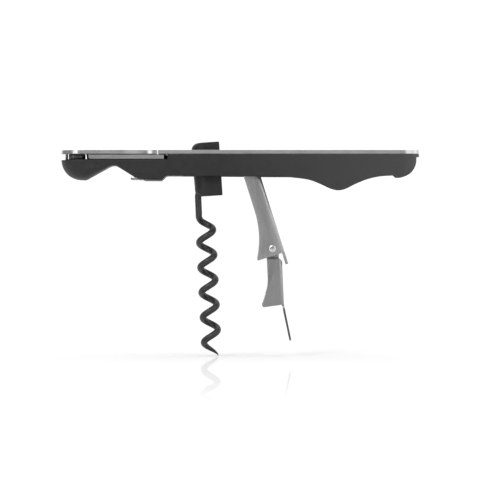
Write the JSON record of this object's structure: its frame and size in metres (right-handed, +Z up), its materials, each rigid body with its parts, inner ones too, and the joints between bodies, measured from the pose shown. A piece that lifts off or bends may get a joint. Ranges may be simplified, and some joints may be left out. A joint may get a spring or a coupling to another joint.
{
  "type": "lever corkscrew",
  "caption": "Folding two-stage lever corkscrew: black handle with steel top plate, coated worm in a swinging block, hinged steel lever, foil knife and cap opener.",
  "frame": {"origin": "on the top plate's upper face, straight above the lever pin, in the middle of the handle's width", "axes": "+X along the handle towards the grip end, +Y across the handle towards the back, +Z up out of the top plate; the open worm and lever hang towards -Z"},
  "size_m": [0.136, 0.017, 0.0813],
  "materials": {
    "black_plastic": "fine matte texture, charcoal black",
    "black_coating": "smooth non-stick coating over steel wire",
    "satin_steel": "satin stamped stainless steel",
    "bright_steel": "polished",
    "nylon": "natural"
  },
  "bodies": {
    "handle": {"front_shell": "black_plastic", "rear_shell": "black_plastic", "front_liner": "satin_steel", "rear_liner": "satin_steel", "top_plate": "satin_steel", "worm_pin": "bright_steel", "worm_spacer_front": "nylon", "worm_spacer_rear": "nylon", "lever_pin": "bright_steel", "lever_washer_front": "nylon", "lever_washer_rear": "nylon", "cap_lifter": "satin_steel", "knife_pivot_screw": "bright_steel", "knife_pivot_nut": "bright_steel", "knife_washer": "nylon", "shell_screw_bulb": "bright_steel", "shell_screw_middle": "bright_steel"},
    "worm_assembly": {"worm_carrier": "black_plastic", "worm": "black_coating"},
    "upper_lever_assembly": {"upper_lever": "satin_steel", "joint_rivet_front": "bright_steel", "joint_rivet_rear": "bright_steel"},
    "lower_lever_assembly": {"lower_lever": "satin_steel"},
    "knife": {"knife_arm": "satin_steel", "foil_blade": "bright_steel", "blade_rivet_inner": "bright_steel", "blade_rivet_outer": "bright_steel"}
  },
  "joints": [
    {"name": "worm_fold", "type": "hinge", "parent": "handle", "child": "worm_assembly", "pos_m": [-0.01562, 0, -0.0052], "axis": [0, -1, 0], "range_deg": [-21, 85.3]},
    {"name": "lever_fold", "type": "hinge", "parent": "handle", "child": "upper_lever_assembly", "pos_m": [0, 0, -0.0049], "axis": [0, -1, 0], "range_deg": [-17.9, 72.5]},
    {"name": "lower_lever_fold", "type": "hinge", "parent": "upper_lever_assembly", "child": "lower_lever_assembly", "pos_m": [0.00927, 0, -0.03742], "axis": [0, -1, 0], "range_deg": [-2.4, 9.6]},
    {"name": "knife_swing", "type": "hinge", "parent": "handle", "child": "knife", "pos_m": [-0.0655, 0, 0], "axis": [0, 0, -1], "range_deg": [0, 180]}
  ],
  "couplings": [
    {"joint": "lever_fold", "follows": "worm_fold", "ratio": 0.8488},
    {"joint": "lower_lever_fold", "follows": "worm_fold", "ratio": 0.1114}
  ]
}
